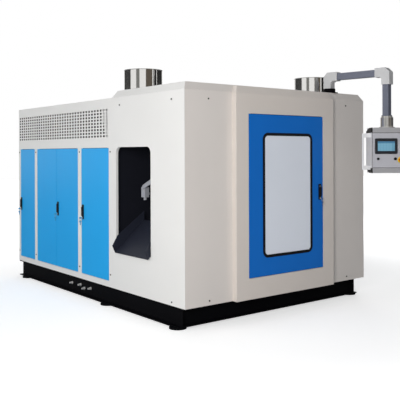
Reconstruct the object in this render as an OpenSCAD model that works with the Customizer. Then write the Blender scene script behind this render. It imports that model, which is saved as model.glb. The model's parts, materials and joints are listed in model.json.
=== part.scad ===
// Blow moulding machine: front enclosure, rear cabinet, control panel on its arm, working parts inside

/* [Housing] */
// Width of the whole housing
encl_w = 2284; // [2200:1:2400]
// Depth of the front enclosure
encl_d = 1143; // [1130:1:1160]
// Width of the cabinet's face behind the rear door
rear_w = 56; // [50:1:70]
// Height of the walls above the base
wall_h = 1800; // [1780:1:1850]
// Thickness of the cladding sheet
sheet = 3; // [2:0.5:3]
// How far the roof's edge slopes in
roof_inset = 39; // [30:1:45]
// How far the roof's edge slopes up
roof_rise = 65; // [50:1:70]
// Side of the square tubes of the frame
tube = 40; // [35:1:42]

/* [Base] */
// Height of the base beams
beam_h = 175; // [150:1:200]
// Width of the beam flanges
flange_w = 95; // [90:1:110]
// Thickness of the beam flanges
flange_t = 10; // [8:1:14]
// Thickness of the beam webs
web_t = 8; // [6:1:12]
// Distance of the beams from the front wall
beam_back = 92; // [70:1:100]
// Radius of a levelling foot
foot_r = 75; // [60:1:80]
// Height of a levelling foot's plate
foot_h = 15; // [12:1:20]

/* [Door surround] */
// Left edge of the surround
surround_x0 = 511; // [490:1:530]
// Distance of the surround from the enclosure's right edge
surround_right = 527; // [510:1:545]
// How far the surround stands out of the front wall
surround_d = 56; // [50:1:70]
// How much lower the surround's roof is than the main roof
surround_drop = 10; // [6:1:20]

/* [Front door] */
// Distance of the front door from the surround's left edge
door_left = 145; // [140:1:160]
// Distance of the front door from the surround's right edge
door_right = 154; // [145:1:165]
// Bottom edge of the front door above the wall's foot
door_up = 186; // [170:1:200]
// Distance of the front door from the top of the wall
door_over = 187; // [175:1:215]
// Hinge edge of the door to the seal
seal_x = 163; // [155:1:165]
// Lock edge of the door to the seal
seal_right = 148; // [140:1:160]
// Bottom edge of the door to the seal
seal_up = 159; // [150:1:165]
// Upper edge of the door to the seal
seal_over = 161; // [150:1:175]
// Outer corner radius of the window seal
seal_r = 60; // [50:1:70]
// Visible width of the window seal
seal_face = 26; // [24:1:30]

/* [Cabinet doors] */
// Bottom edge of the cabinet doors above the wall's foot
leaf_up = 60; // [55:1:70]
// Height of the grille panel above the cabinet doors
grille_h = 475; // [460:1:500]
// Width of the face between the enclosure and the front cabinet door
pillar_a = 69; // [66:1:80]
// Width of the front cabinet door
leaf_a_w = 540; // [530:1:545]
// Width of the pillar in front of the double door
pillar_b = 81; // [78:1:90]
// Width of the double door
leaf_b_w = 971; // [960:1:975]
// Width of the pillar in front of the rear cabinet door
pillar_c = 73; // [70:1:80]
// Width of the rear cabinet door
leaf_c_w = 387; // [380:1:388]
// Depth of a door leaf's folded edge
leaf_d = 25; // [22:1:28]
// Gap round every door leaf
leaf_gap = 4; // [4:0.5:5]

/* [Grille] */
// Rows of ventilation slots
slot_rows = 9; // [5:1:9]
// Columns of ventilation slots
slot_cols = 36; // [20:1:36]
// Width of a slot
slot_w = 35; // [25:1:38]
// Height of a slot
slot_h = 19; // [12:1:20]

/* [Chute] */
// Distance of the discharge window from the enclosure's rear edge
win_back = 68; // [60:1:75]
// Width of the discharge window
win_w = 581; // [570:1:585]
// Distance of the discharge window from the top of the wall
win_over = 468; // [455:1:520]
// Slope of the chute's floor in degrees
chute_tilt = 41; // [38:1:43]
// Length of the chute's floor along its slope
chute_run = 434; // [400:1:440]

/* [Exhaust] */
// Radius of an exhaust stack
stack_r = 180; // [150:1:180]
// Height of a stack above the roof
stack_h = 188; // [150:1:220]

/* [Control panel] */
// Length of the arm between its vertical axes
arm_l = 615; // [600:1:640]
// Width of the control panel
panel_w = 340; // [330:1:360]
// Height of the control panel
panel_h = 420; // [400:1:440]
// Depth of the control panel
panel_d = 205; // [180:1:220]
// Radius of a handle bar
grip_r = 8.5; // [7:0.5:10]

/* [Clamp unit] */
// Distance of each mould face from the middle when open
mould_open = 95; // [90:1:110]
// Thickness of a mould half
mould_t = 150; // [120:1:160]
// Radius of a tie bar
tie_r = 25; // [20:1:30]

/* [Hidden] */
$fn = 72;

// Small distances shared by every piece
skin = 2;
run_gap = 0.05;
cut = 1;

// Heights above the floor
deck_z = foot_h + beam_h;
wall_z = deck_z + wall_h;
roof_z = wall_z + roof_rise;
stack_top_z = roof_z + stack_h;

// Doors and window, each from its neighbour's edge
surround_x1 = encl_w - surround_right;
door_x = surround_x0 + door_left;
door_w = surround_x1 - door_right - door_x;
door_h = wall_h - door_up - door_over;
seal_w = door_w - seal_x - seal_right;
seal_h = door_h - seal_up - seal_over;
leaf_h = wall_h - leaf_up - grille_h;
leaf_a = encl_d + pillar_a;
leaf_b = leaf_a + leaf_a_w + pillar_b;
leaf_c = leaf_b + leaf_b_w + pillar_c;
total_l = leaf_c + leaf_c_w + rear_w;
win_y = encl_d - win_back - win_w;

// Control panel and its arm
arm_turn = 80;
panel_turn = 38.13;
arm_x = encl_w - 395;
arm_y = 105;
tip_x = arm_x + arm_l * cos(arm_turn);
tip_y = arm_y - arm_l * sin(arm_turn);
arm_z = roof_z + 158;
casting_w = 82;
casting_h = 160;
casting_l = 150;
casting_out = 45;
swivel_r = 58;
swivel_h = 45;
panel_top_z = roof_z - 361;
panel_z = panel_top_z - panel_h;
collar_h = 110;
collar_r = 58;
drop_r = 34;
grip_l = 338;
grip_out = 67;
grip_y = -50;

// The origin is under the middle of the whole machine's box
cheek_out = 54;
box_x0 = -cheek_out;
panel_low = (panel_w / 2 + grip_out) * sin(panel_turn) - grip_y * cos(panel_turn) + grip_r;
box_y0 = tip_y - panel_low;
box_x1 = encl_w + foot_r - flange_w / 2;
mid_x = (box_x0 + box_x1) / 2;
mid_y = (box_y0 + total_l) / 2;

// Frame posts
post_z = wall_z - sheet;
post_ys = [sheet, encl_d - sheet - tube];
left_x = sheet;
right_x = encl_w - sheet - tube;
pillar_ys = [
    (encl_d + leaf_a) / 2 - tube / 2 + 1,
    (leaf_a + leaf_a_w + leaf_b) / 2 - tube / 2,
    (leaf_b + leaf_b_w + leaf_c) / 2 - tube / 2,
    total_l - sheet - tube
];
window_post_y = win_y - 2 * sheet - tube;
door_post_xs = [door_x - 2 * tube, door_x + door_w + tube];

// Door leaves and their pivots
door_z = deck_z + door_up;
leaf_z = deck_z + leaf_up;
leaf_b_half = (leaf_b_w - leaf_gap) / 2;
lip = 20;
pivot_in = 6.5;
pivot_r = 4;
pivot_l = 20;
pivot_side = 24;
pivot_block = 40;
face_split_z = leaf_z + leaf_h + leaf_gap;

// Locks
lock_w = 34;
lock_h = 148;
lock_t = 5;
spindle_r = 8;
spindle_up = 48;
lever_y = -12;
lever_w = 24;
lever_t = 10;
lever_l = 88;
lever_pin_r = 3;
lever_gap = 0.3;
cylinder_r = 10;
cylinder_down = 60;
cylinder_out = 12;
key_t = 3;
bow_r = 11;
blade_w = 8;
eye_r = 3.5;
ring_r = 10;
wire_r = 1.2;
spare_l = 34;
cam_y0 = leaf_d + 3;
cam_t = 4;
cam_w = 16;
cam_reach = 10;
front_lock_in = 45;
front_lock_z = door_h / 2 + 3.5;
leaf_lock_z = leaf_h / 2 - 10.5;
lock_a_in = 32;
lock_b_in = 35;
lock_c_in = 21;

// Chute and window
chute_x = -24;
chute_z = deck_z + 346;
chute_y0 = win_y + 11;
chute_y1 = win_y + win_w - 17;
win_r = 60;
jamb = 25;
win_z = chute_z - chute_x * tan(chute_tilt) - 1;
win_h = wall_z - win_over - win_z;

// Grille
slot_pitch_y = 58;
slot_pitch_z = 31.3;
slot_y0 = leaf_a + 13;
slot_z0 = face_split_z + 102;

// Clamp unit
clamp_x = (2 * door_x + door_w) / 2;
clamp_y = encl_d - 443;
clamp_z = wall_z - 810;
end_plate_x = 570;
end_plate_t = 60;
end_plate_d = 500;
bed_z = clamp_z - 620;
end_plate_top = clamp_z + 320;
platen_t = 60;
platen_d = 480;
platen_h = 560;
mould_d = 360;
mould_h = 440;
tie_dy = 200;
tie_dz = 240;
rod_r = 30;
ram_r = 60;
ram_l = 170;
ram_wall = 12;
piston_t = 20;
ram_bottom = 15;
rod_l = end_plate_x + end_plate_t + ram_l - ram_bottom - 5 - mould_open - mould_t - platen_t;

// Blow pin
pin_r = 12;
neck_r = 15;
blow_r = 40;
blow_bore = 30;
blow_z = deck_z + 20;
pin_top_z = clamp_z - 250;

// Extruder
barrel_r = 65;
barrel_z = wall_z - 300;
barrel_y1 = encl_d + 857;
head_r = 110;
head_z0 = barrel_z - 130;
head_z1 = barrel_z + 100;

// Screws of the cladding: across the wall, up the wall
screw_r = 3;
screw_head_r = 7;
screw_head_t = 4;
screw_l = 7;
front_screws = [[251, wall_h - 71], [255, 38], [encl_w - 277, wall_h - 60], [encl_w - 271, 40]];
side_screws = [[184, 30], [179, wall_h - 75], [encl_d - 135, wall_h - 75]];
side_rail_up = wall_h - 95;
pillar_screws = [for (y = pillar_ys, z = [120, leaf_up + leaf_h - 35]) [y + tube / 2, z]];

// Paints
white_paint = [0.88, 0.88, 0.86];
front_paint = [0.74, 0.71, 0.67];
leaf_blue = [0.2, 0.55, 0.85];
door_blue = [0.1, 0.35, 0.65];
black_paint = [0.06, 0.06, 0.07];
dark_steel = [0.13, 0.14, 0.18];
steel = [0.7, 0.71, 0.72];
silver = [0.69, 0.68, 0.67];
machine_grey = [0.45, 0.47, 0.5];

// Puts a piece into the machine's frame
module place() {
    translate([-mid_x, -mid_y, 0]) children();
}

// Mirrors a piece to the right flank
module on_right() {
    translate([encl_w, 0, 0]) mirror([1, 0, 0]) children();
}

// Rectangle with round corners, centred
module round_rect(w, h, r) {
    square([w - 2 * r, h], center = true);
    square([w, h - 2 * r], center = true);
    for (x = [-1, 1], y = [-1, 1]) translate([x * (w / 2 - r), y * (h / 2 - r)]) circle(r = r);
}

// Upright plate with round corners in the X-Z plane, from y0 to y0 + t
module plate_xz(w, h, r, y0, t) {
    translate([0, y0 + t, 0]) rotate([90, 0, 0]) linear_extrude(t) round_rect(w, h, r);
}

// Cylinder along Y from y0 to y1
module rod_y(r, y0, y1) {
    translate([0, y0, 0]) rotate([-90, 0, 0]) cylinder(r = r, h = y1 - y0);
}

// Cylinder along X from x0 to x1
module rod_x(r, x0, x1) {
    translate([x0, 0, 0]) rotate([0, 90, 0]) cylinder(r = r, h = x1 - x0);
}

// H-beam along Y
module beam_y(y0, y1) {
    translate([0, y0, foot_h]) {
        cube([flange_w, y1 - y0, flange_t]);
        translate([0, 0, beam_h - flange_t]) cube([flange_w, y1 - y0, flange_t]);
        translate([(flange_w - web_t) / 2, 0, 0]) cube([web_t, y1 - y0, beam_h]);
    }
}

// H-beam along X between the side beams' webs
module beam_x(y) {
    web_x0 = (flange_w + web_t) / 2;
    translate([0, y, foot_h]) {
        for (z = [0, beam_h - flange_t]) translate([flange_w, 0, z]) {
            cube([encl_w - 2 * flange_w, flange_w, flange_t]);
        }
        translate([web_x0, (flange_w - web_t) / 2, 0]) cube([encl_w - 2 * web_x0, web_t, beam_h]);
    }
}

// Places along the base where the feet stand
foot_ys = [beam_back + 73, encl_d + 164, total_l - 170];
foot_stud_r = 8;
foot_stud_x = flange_w / 2 + 24;
cross_ys = [beam_back, encl_d + 30, total_l - flange_w - 10];
coupling_ys = [for (s = [498, 628, 709, 893]) encl_d + s];
coupling_zs = [-87, -105, -79, -85];
coupling_hole_r = 9;

module foot_places() {
    for (y = foot_ys) {
        translate([0, y, 0]) children();
        on_right() translate([0, y, 0]) children();
    }
}

module base_frame() {
    color(black_paint) place() difference() {
        union() {
            beam_y(beam_back, total_l - 10);
            on_right() beam_y(beam_back, total_l - 10);
            for (y = cross_ys) beam_x(y);
        }
        foot_places() translate([foot_stud_x, 0, 0]) {
            cylinder(r = foot_stud_r + 1, h = foot_h + flange_t + cut);
        }
        for (i = [0:3]) translate([0, coupling_ys[i], deck_z + coupling_zs[i]]) {
            rod_x(coupling_hole_r, flange_w / 2 - web_t, flange_w / 2 + web_t);
        }
    }
}

module levelling_feet() {
    nut_r = 15;
    nut_h = 13;
    stud_h = 60;
    step = 1.5;
    color(black_paint) place() foot_places() {
        translate([flange_w / 2, 0, 0]) cylinder(r = foot_r, h = foot_h - step);
        translate([flange_w / 2, 0, foot_h - step]) cylinder(r = foot_r - 2 * step, h = step);
        translate([foot_stud_x, 0, 0]) cylinder(r = foot_stud_r, h = stud_h);
        translate([foot_stud_x, 0, foot_h + flange_t]) cylinder(r = nut_r, h = nut_h, $fn = 6);
    }
}

// Quick-couplings for the cooling water, standing out of the left beam's web
module water_couplings() {
    web_x = (flange_w - web_t) / 2;
    plug_l = 34;
    hex_l = 8;
    ring_l = 16;
    bore_r = 6;
    color(steel) place() for (i = [0:3]) translate([0, coupling_ys[i], deck_z + coupling_zs[i]]) {
        difference() {
            union() {
                rod_x(coupling_hole_r, web_x, web_x + web_t);
                rod_x(15, web_x - hex_l, web_x);
                rod_x(10, web_x - plug_l, web_x - hex_l);
                rod_x(12.5, web_x - ring_l, web_x - hex_l);
            }
            rod_x(bore_r, web_x - plug_l - cut, web_x + web_t + cut);
        }
    }
}

// Folded post along Z, open to the inside: towards +X, or towards +Y
module post_open_x(x, y) {
    translate([x, y, deck_z]) difference() {
        cube([tube, tube, post_z - deck_z]);
        translate([sheet, sheet, tube]) cube([tube, tube - 2 * sheet, post_z - deck_z - 2 * tube]);
    }
}

module post_open_y(x) {
    translate([x, sheet, deck_z]) difference() {
        cube([tube, tube, post_z - deck_z]);
        translate([sheet, sheet, tube]) cube([tube - 2 * sheet, tube, post_z - deck_z - 2 * tube]);
    }
}

module rail_y(x, y0, y1, z) {
    translate([x, y0, z]) cube([tube, y1 - y0, tube]);
}

module rail_x(x0, x1, y, z) {
    translate([x0, y, z]) cube([x1 - x0, tube, tube]);
}

// Posts and rails behind one flank, without the doors' own posts
module flank_frame() {
    for (y = concat(post_ys, pillar_ys, [window_post_y])) post_open_x(left_x, y);
    for (z = [deck_z, post_z - tube]) rail_y(left_x, sheet, total_l - sheet, z);
    rail_y(left_x, sheet, encl_d - sheet, deck_z + side_rail_up);
}

// Screw shanks of the cladding, also used to drill the sheets and tubes
module front_shanks(r, y0, y1) {
    for (s = front_screws) translate([s[0], 0, deck_z + s[1]]) rod_y(r, y0, y1);
}

module flank_shanks(places, r, x0, x1) {
    for (s = places) translate([0, s[0], deck_z + s[1]]) rod_x(r, x0, x1);
}

module all_shanks() {
    front_shanks(screw_r, -cut, screw_l);
    flank_shanks(concat(side_screws, pillar_screws), screw_r, -cut, screw_l);
    on_right() flank_shanks(concat(side_screws, pillar_screws), screw_r, -cut, screw_l);
}

module body_frame() {
    color(machine_grey) place() difference() {
        union() {
            flank_frame();
            on_right() flank_frame();
            for (x = door_post_xs) post_open_y(x);
            for (s = [front_screws[0], front_screws[2]]) post_open_y(s[0] - tube / 2);
            rail_x(left_x, door_post_xs[0] + tube, sheet, deck_z);
            rail_x(door_post_xs[1], right_x, sheet, deck_z);
            rail_x(left_x, right_x, sheet, post_z - tube);
            for (y = [post_ys[1], total_l - sheet - tube], z = [deck_z, post_z - tube]) {
                rail_x(left_x, right_x, y, z);
            }
        }
        all_shanks();
    }
}

// Cladding

// Opening of the discharge window with its round upper corners
module window_shape(grow) {
    w = win_w + 2 * grow;
    h = win_h + grow;
    r = win_r + grow;
    translate([win_y - grow, win_z]) {
        square([w, h - r]);
        translate([r, 0]) square([w - 2 * r, h]);
        for (y = [r, w - r]) translate([y, h - r]) circle(r = r);
    }
}

// Extrudes a shape drawn in Y and Z towards +X
module along_x(x0, x1) {
    translate([x0, 0, 0]) rotate([90, 0, 90]) linear_extrude(x1 - x0) children();
}

// Extrudes a shape drawn in X and Z towards +Y
module along_y(y0, y1) {
    translate([0, y1, 0]) rotate([90, 0, 0]) linear_extrude(y1 - y0) children();
}

module flank_panel_left() {
    color(white_paint) place() difference() {
        union() {
            translate([0, 0, deck_z]) cube([sheet, encl_d, wall_h]);
            along_x(0, jamb) difference() {
                window_shape(sheet);
                window_shape(0);
            }
        }
        along_x(-cut, jamb + cut) window_shape(0);
        flank_shanks(side_screws, screw_r, -cut, jamb);
    }
}

module flank_panel_right() {
    color(white_paint) place() on_right() difference() {
        translate([0, 0, deck_z]) cube([sheet, encl_d, wall_h]);
        flank_shanks(side_screws, screw_r, -cut, jamb);
    }
}

module front_panels() {
    left_w = surround_x0 + jamb - sheet;
    right_w = encl_w - sheet - surround_x1 + jamb;
    color(front_paint) place() difference() {
        union() {
            translate([sheet, 0, deck_z]) cube([left_w, sheet, wall_h]);
            translate([surround_x1 - jamb, 0, deck_z]) cube([right_w, sheet, wall_h]);
        }
        front_shanks(screw_r, -cut, jamb);
    }
}

// Roof block with sloped edges: flat walls below edge_z, slopes above
module roof_profile(w, inset, rise) {
    polygon([[0, 0], [w, 0], [w - inset, rise], [inset, rise]]);
}

module roof_block(w, d, inset, rise) {
    intersection() {
        along_y(0, d) roof_profile(w, inset, rise);
        along_x(0, w) roof_profile(d, inset, rise);
    }
}

roof_slope = roof_inset / roof_rise;
sheet_slant = sheet * sqrt(1 + roof_slope * roof_slope);
inner_rise = roof_rise - sheet;
inner_inset = roof_slope * inner_rise;
stack_places = [[stack_r + roof_inset + 1, encl_d - stack_r - roof_inset + 13], [encl_w - 256, 474]];

module enclosure_roof() {
    color(white_paint) place() difference() {
        translate([0, 0, wall_z]) roof_block(encl_w, encl_d, roof_inset, roof_rise);
        translate([sheet_slant, sheet_slant, wall_z]) {
            roof_block(encl_w - 2 * sheet_slant, encl_d - 2 * sheet_slant, inner_inset, inner_rise);
        }
        for (p = stack_places) translate([p[0], p[1], roof_z - 2 * sheet]) {
            cylinder(r = stack_r - skin, h = 3 * sheet);
        }
    }
}

module exhaust_stacks() {
    color(steel) place() for (p = stack_places) translate([p[0], p[1], roof_z]) difference() {
        cylinder(r = stack_r, h = stack_h);
        translate([0, 0, -cut]) cylinder(r = stack_r - skin, h = stack_h + 2 * cut);
    }
}

// Door surround: a shallow box with a sloped roof that runs back into the main roof
surround_w = surround_x1 - surround_x0;
surround_wall = wall_z - surround_drop;

module surround_block(t) {
    run = sheet_slant * t / sheet;
    w = surround_w - 2 * run;
    rise = roof_rise - t;
    inset = roof_slope * rise;
    front = -surround_d + run;
    back = roof_inset;
    translate([surround_x0 + run, 0, surround_wall]) intersection() {
        along_y(front, back) roof_profile(w, inset, rise);
        translate([0, front, 0]) along_x(0, w) {
            polygon([[0, 0], [back - front, 0], [back - front, rise], [inset, rise]]);
        }
    }
    below = t > 0 ? cut : 0;
    translate([surround_x0 + t, -surround_d + t, deck_z - below]) {
        cube([surround_w - 2 * t, surround_d + sheet, surround_wall - deck_z + below]);
    }
}

module door_surround() {
    opening_w = door_w + 2 * leaf_gap;
    opening_h = door_h + 2 * leaf_gap;
    color(front_paint) place() difference() {
        union() {
            difference() {
                surround_block(0);
                surround_block(sheet);
                translate([surround_x0 - cut, 0, deck_z - cut]) {
                    cube([surround_w + 2 * cut, tube, wall_h + cut]);
                }
                translate([0, 0, wall_z]) roof_block(encl_w, encl_d, roof_inset, roof_rise);
            }
            translate([door_x - leaf_gap - sheet, -surround_d, door_z - leaf_gap - sheet]) {
                cube([opening_w + 2 * sheet, lip, opening_h + 2 * sheet]);
            }
        }
        translate([door_x - leaf_gap, -surround_d - cut, door_z - leaf_gap]) {
            cube([opening_w, lip + 2 * cut, opening_h]);
        }
    }
}

// Partition between enclosure and cabinet, with the extruder's passage and a gusset behind the grille
module bulkhead() {
    gusset_l = 290;
    gusset_z0 = wall_z - 430;
    gusset_z1 = wall_z - 90;
    passage_gap = 40;
    color(white_paint) place() {
        difference() {
            translate([sheet, encl_d - sheet, deck_z + tube]) {
                cube([encl_w - 2 * sheet, sheet, post_z - deck_z - 2 * tube]);
            }
            translate([clamp_x, 0, barrel_z]) {
                rod_y(barrel_r + passage_gap, encl_d - sheet - cut, encl_d + cut);
            }
        }
        along_x(left_x + tube + sheet, left_x + tube + 2 * sheet) {
            polygon([
                [encl_d - sheet, gusset_z0], [encl_d + 0.6 * gusset_l, gusset_z0],
                [encl_d + gusset_l, gusset_z1], [encl_d - sheet, gusset_z1]
            ]);
        }
    }
}

// Cabinet face: pillars with folded edges between the doors, and the strip below them
module pillar(y0, y1, fold0, fold1) {
    z0 = leaf_z - leaf_gap;
    translate([0, y0, z0]) cube([sheet, y1 - y0, face_split_z - z0]);
    if (fold0) translate([0, y0, z0]) cube([lip, sheet, face_split_z - z0]);
    if (fold1) translate([0, y1 - sheet, z0]) cube([lip, sheet, face_split_z - z0]);
}

leaf_spans = [[leaf_a, leaf_a + leaf_a_w], [leaf_b, leaf_b + leaf_b_w], [leaf_c, leaf_c + leaf_c_w]];

module cabinet_face() {
    color(white_paint) place() difference() {
        union() {
            translate([0, encl_d, deck_z]) cube([sheet, total_l - encl_d, leaf_up - leaf_gap]);
            for (s = leaf_spans) translate([0, s[0] - leaf_gap - sheet, leaf_z - leaf_gap - sheet]) {
                cube([lip, s[1] - s[0] + 2 * leaf_gap + 2 * sheet, sheet]);
            }
            pillar(encl_d, leaf_spans[0][0] - leaf_gap, false, true);
            pillar(leaf_spans[0][1] + leaf_gap, leaf_spans[1][0] - leaf_gap, true, true);
            pillar(leaf_spans[1][1] + leaf_gap, leaf_spans[2][0] - leaf_gap, true, true);
            pillar(leaf_spans[2][1] + leaf_gap, total_l, true, false);
        }
        flank_shanks(pillar_screws, screw_r, -cut, jamb);
    }
}

module grille_panel() {
    color(white_paint) place() {
        along_x(0, sheet) difference() {
            translate([encl_d, face_split_z]) square([total_l - encl_d, wall_z - face_split_z]);
            for (i = [0:slot_cols - 1], j = [0:slot_rows - 1]) {
                translate([slot_y0 + i * slot_pitch_y, slot_z0 + j * slot_pitch_z]) square([slot_w, slot_h]);
            }
        }
        for (s = leaf_spans) translate([sheet, s[0] - leaf_gap, face_split_z]) {
            cube([lip - sheet, s[1] - s[0] + 2 * leaf_gap, sheet]);
        }
    }
}

// Plain screwed panels of the cabinet: right side, rear and roof
module cabinet_panels() {
    color(white_paint) place() {
        on_right() difference() {
            translate([0, encl_d, deck_z]) cube([sheet, total_l - encl_d, wall_h]);
            flank_shanks(pillar_screws, screw_r, -cut, jamb);
        }
        translate([sheet, total_l - sheet, deck_z]) cube([encl_w - 2 * sheet, sheet, wall_h]);
        translate([sheet, encl_d, wall_z - sheet]) {
            cube([encl_w - 2 * sheet, total_l - encl_d - sheet, sheet]);
        }
    }
}

// Button-head screws with their shanks
module panel_screws() {
    color(steel) place() {
        for (s = front_screws) translate([s[0], 0, deck_z + s[1]]) screw_y();
        for (s = concat(side_screws, pillar_screws)) {
            translate([0, s[0], deck_z + s[1]]) rotate([0, 0, -90]) screw_y();
            on_right() translate([0, s[0], deck_z + s[1]]) rotate([0, 0, -90]) screw_y();
        }
    }
}

module screw_y() {
    difference() {
        rod_y(screw_head_r, -screw_head_t, 0);
        rod_y(screw_r, -screw_head_t - cut, -screw_head_t / 2, $fn = 6);
    }
    rod_y(screw_r, -screw_head_t / 2, screw_l);
}

// Discharge chute: sloping floor between two cheeks
chute_rise = chute_run * sin(chute_tilt);
chute_reach = chute_run * cos(chute_tilt);

module chute_cheek(y0) {
    floor_x = chute_x + chute_reach;
    floor_z = chute_z + chute_rise;
    along_y(y0, y0 + sheet) {
        polygon([[chute_x, chute_z], [floor_x, floor_z], [floor_x, floor_z + 90], [sheet, chute_z + 160],
            [-cheek_out, chute_z + 67]]);
    }
}

module discharge_chute() {
    color(dark_steel) place() {
        chute_cheek(chute_y0);
        chute_cheek(chute_y1 - sheet);
        along_y(chute_y0 + sheet, chute_y1 - sheet) {
            polygon([[chute_x, chute_z], [chute_x + chute_reach, chute_z + chute_rise],
                [chute_x + chute_reach, chute_z + chute_rise + sheet], [chute_x, chute_z + sheet]]);
        }
        translate([sheet, win_y, chute_z + 90]) cube([lip, chute_y0 - win_y, lip]);
        translate([sheet, chute_y1, chute_z + 90]) cube([lip, win_y + win_w - chute_y1, lip]);
    }
}

// Small pneumatic unit on a strut behind the window
module pneumatic_unit() {
    plate_x = left_x + tube;
    strut_t = 10;
    strut_low = chute_z + 624;
    strut_high = chute_z + 700;
    unit_y = win_y + 170;
    unit_w = 60;
    unit_d = 45;
    unit_h = 92;
    end_y = unit_y + unit_w / 2;
    color(silver) place() {
        translate([plate_x, window_post_y, strut_high - tube]) cube([strut_t, tube, 2 * tube]);
        along_x(plate_x, plate_x + strut_t) {
            polygon([
                [window_post_y, strut_high], [window_post_y + tube, strut_high + 30],
                [end_y, strut_low + 15], [end_y, strut_low - 20]
            ]);
        }
        translate([plate_x + strut_t, unit_y, strut_low - unit_h]) cube([unit_d, unit_w, unit_h]);
        translate([plate_x + strut_t + unit_d / 2, end_y, strut_low - unit_h - 25]) cylinder(r = 14, h = 26);
        translate([plate_x + strut_t + unit_d - cut, end_y, strut_low - 60]) rod_x(12, 0, 22 + cut);
    }
}

// Door leaves: x from the hinge edge, y from the outer face inwards, z up
module at_front_door() {
    translate([door_x, -surround_d, door_z]) children();
}

module at_leaf(y) {
    translate([0, y, leaf_z]) mirror([1, -1, 0]) children();
}

module at_rear_leaf() {
    translate([0, leaf_b + leaf_b_w, leaf_z]) rotate([0, 0, -90]) children();
}

module at_lock(x, z) {
    translate([x, 0, z + spindle_up]) children();
}

module leaf(w, h) {
    difference() {
        union() {
            difference() {
                cube([w, leaf_d, h]);
                translate([skin, skin, skin]) cube([w - 2 * skin, leaf_d, h - 2 * skin]);
            }
            for (z = [0, h - pivot_block]) translate([0, 0, z]) cube([pivot_side, pivot_side, pivot_block]);
        }
        for (z = [-cut, h - pivot_block - cut]) translate([pivot_in, pivot_in, z]) {
            cylinder(r = pivot_r + run_gap, h = pivot_block + 2 * cut);
        }
    }
}

// Door leaf drilled for the lock's spindle
module locked_leaf(w, h, lock_x, lock_z) {
    difference() {
        leaf(w, h);
        at_lock(lock_x, lock_z) rod_y(spindle_r + 1, -cut, leaf_d + cut);
    }
}

// Pivot plates with their pins, above and below a leaf
module pivots(h) {
    plate = leaf_gap - cut;
    for (end = [0, 1]) translate([0, 0, end * h]) mirror([0, 0, end]) {
        translate([0, sheet, -leaf_gap]) cube([pivot_side, lip - sheet, plate]);
        translate([pivot_in, pivot_in, -leaf_gap]) cylinder(r = pivot_r, h = leaf_gap + pivot_l);
    }
}

module door_pivots() {
    color(steel) place() {
        at_front_door() pivots(door_h);
        at_leaf(leaf_a) pivots(leaf_h);
        at_leaf(leaf_b) pivots(leaf_h);
        at_rear_leaf() pivots(leaf_h);
        at_leaf(leaf_c) pivots(leaf_h);
    }
}

seal_mid_x = seal_x + seal_w / 2;
seal_mid_z = seal_up + seal_h / 2;
seal_lap = 10;
pane_in = 14;
pane_t = 5;
seal_t = 4;

module front_door() {
    color(door_blue) place() at_front_door() difference() {
        locked_leaf(door_w, door_h, door_w - front_lock_in, front_lock_z);
        translate([seal_mid_x, 0, seal_mid_z]) {
            plate_xz(seal_w - 2 * seal_lap, seal_h - 2 * seal_lap, seal_r - seal_lap, -cut, leaf_d);
        }
    }
}

// One slice of the seal: a frame between two round rectangles
module seal_slice(outer_in, inner_in, y0, t) {
    difference() {
        plate_xz(seal_w - 2 * outer_in, seal_h - 2 * outer_in, seal_r - outer_in, y0, t);
        plate_xz(seal_w - 2 * inner_in, seal_h - 2 * inner_in, seal_r - inner_in, y0 - cut, t + 2 * cut);
    }
}

module door_seal() {
    color(black_paint) place() at_front_door() translate([seal_mid_x, 0, seal_mid_z]) {
        seal_slice(0, seal_face, -seal_t, seal_t);
        seal_slice(seal_lap, pane_in, 0, pane_t);
        seal_slice(0, seal_lap, skin, pane_t - skin);
        seal_slice(0, seal_face, pane_t, seal_t);
    }
}

module door_window() {
    color([0.75, 0.77, 0.82]) place() at_front_door() translate([seal_mid_x, 0, seal_mid_z]) {
        plate_xz(seal_w - 2 * pane_in, seal_h - 2 * pane_in, seal_r - pane_in, 0, pane_t);
    }
}

module cabinet_door_front() {
    color(leaf_blue) place() at_leaf(leaf_a) {
        locked_leaf(leaf_a_w, leaf_h, leaf_a_w - lock_a_in, leaf_lock_z);
    }
}

module double_door_front() {
    color(leaf_blue) place() at_leaf(leaf_b) {
        locked_leaf(leaf_b_half, leaf_h, leaf_b_half - lock_b_in, leaf_lock_z);
    }
}

module double_door_rear() {
    color(leaf_blue) place() at_rear_leaf() leaf(leaf_b_half, leaf_h);
}

module cabinet_door_rear() {
    color(leaf_blue) place() at_leaf(leaf_c) {
        locked_leaf(leaf_c_w, leaf_h, leaf_c_w - lock_c_in, leaf_lock_z);
    }
}

// Locks: origin on the spindle's axis at the leaf's outer face

// Flat key seen from the side: bow with its eye at eye_z, and a blade of length blade
module key(eye_z, blade) {
    rotate([0, 90, 0]) translate([0, 0, -key_t / 2]) difference() {
        union() {
            cylinder(r = bow_r, h = key_t);
            translate([0, -blade_w / 2, 0]) cube([blade, blade_w, key_t]);
        }
        translate([-eye_z, 0, -cut]) cylinder(r = eye_r, h = key_t + 2 * cut);
    }
}

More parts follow.
